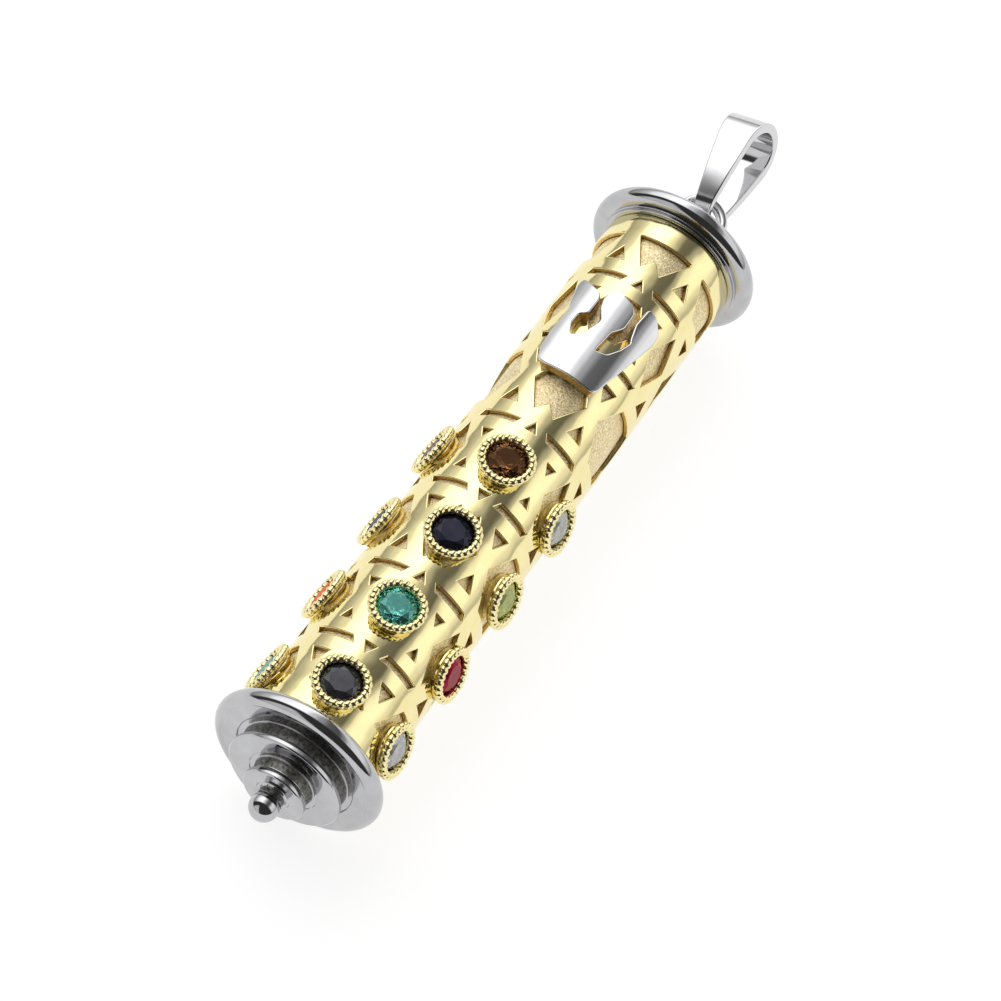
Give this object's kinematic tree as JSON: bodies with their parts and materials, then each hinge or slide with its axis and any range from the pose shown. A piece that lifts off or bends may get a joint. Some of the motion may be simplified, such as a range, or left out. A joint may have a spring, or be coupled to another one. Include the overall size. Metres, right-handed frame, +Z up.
{
  "type": "pendant mezuzah case",
  "caption": "Slim pendant case for a rolled parchment: pierced tube set with round stones, flanged caps, a stepped finial that pulls off, and a swinging bail.",
  "frame": {"origin": "centre of the bounding box on the surface that the case lies on", "axes": "+X along the tube from the finial to the bail, +Z up through the middle column of stones and the emblem"},
  "size_m": [0.0552, 0.0102, 0.0102],
  "materials": {
    "yellow_gold": null,
    "white_gold": null,
    "parchment": "matt, rolled",
    "stone_left_1": "faceted aqua gemstone",
    "stone_left_2": "faceted orange gemstone",
    "stone_left_3": "faceted dark blue gemstone",
    "stone_left_4": "faceted pinkish purple gemstone",
    "stone_centre_1": "faceted grey black gemstone",
    "stone_centre_2": "faceted teal green gemstone",
    "stone_centre_3": "faceted very dark blue gemstone",
    "stone_centre_4": "faceted smoky brown gemstone",
    "stone_right_1": "faceted clear gemstone",
    "stone_right_2": "faceted ruby red gemstone",
    "stone_right_3": "faceted yellow green gemstone",
    "stone_right_4": "faceted pale yellow gemstone"
  },
  "bodies": {
    "case": {"lattice_sleeve": "yellow_gold", "liner_tube": "yellow_gold", "bezel_left_1": "yellow_gold", "bezel_left_2": "yellow_gold", "bezel_left_3": "yellow_gold", "bezel_left_4": "yellow_gold", "bezel_centre_1": "yellow_gold", "bezel_centre_2": "yellow_gold", "bezel_centre_3": "yellow_gold", "bezel_centre_4": "yellow_gold", "bezel_right_1": "yellow_gold", "bezel_right_2": "yellow_gold", "bezel_right_3": "yellow_gold", "bezel_right_4": "yellow_gold", "stone_left_1": "stone_left_1", "stone_left_2": "stone_left_2", "stone_left_3": "stone_left_3", "stone_left_4": "stone_left_4", "stone_centre_1": "stone_centre_1", "stone_centre_2": "stone_centre_2", "stone_centre_3": "stone_centre_3", "stone_centre_4": "stone_centre_4", "stone_right_1": "stone_right_1", "stone_right_2": "stone_right_2", "stone_right_3": "stone_right_3", "stone_right_4": "stone_right_4", "three_prong_emblem": "white_gold", "top_cap": "white_gold", "eyelet": "white_gold"},
    "cap": {"bottom_cap": "white_gold"},
    "scroll": {"parchment_scroll": "parchment"},
    "bail": {"bail": "white_gold"}
  },
  "joints": [
    {"name": "cap_slide", "type": "slide", "parent": "case", "child": "cap", "axis": [-1, 0, 0], "range_m": [0, 0.045]},
    {"name": "scroll_slide", "type": "slide", "parent": "case", "child": "scroll", "axis": [-1, 0, 0], "range_m": [0, 0.036]},
    {"name": "bail_hinge", "type": "hinge", "parent": "case", "child": "bail", "pos_m": [0.02172, 0, 0.00512], "axis": [0, -0.9323, 0.3616], "range_deg": [-58, 78]}
  ],
  "couplings": [
    {"joint": "scroll_slide", "follows": "cap_slide", "ratio": 0.8}
  ]
}
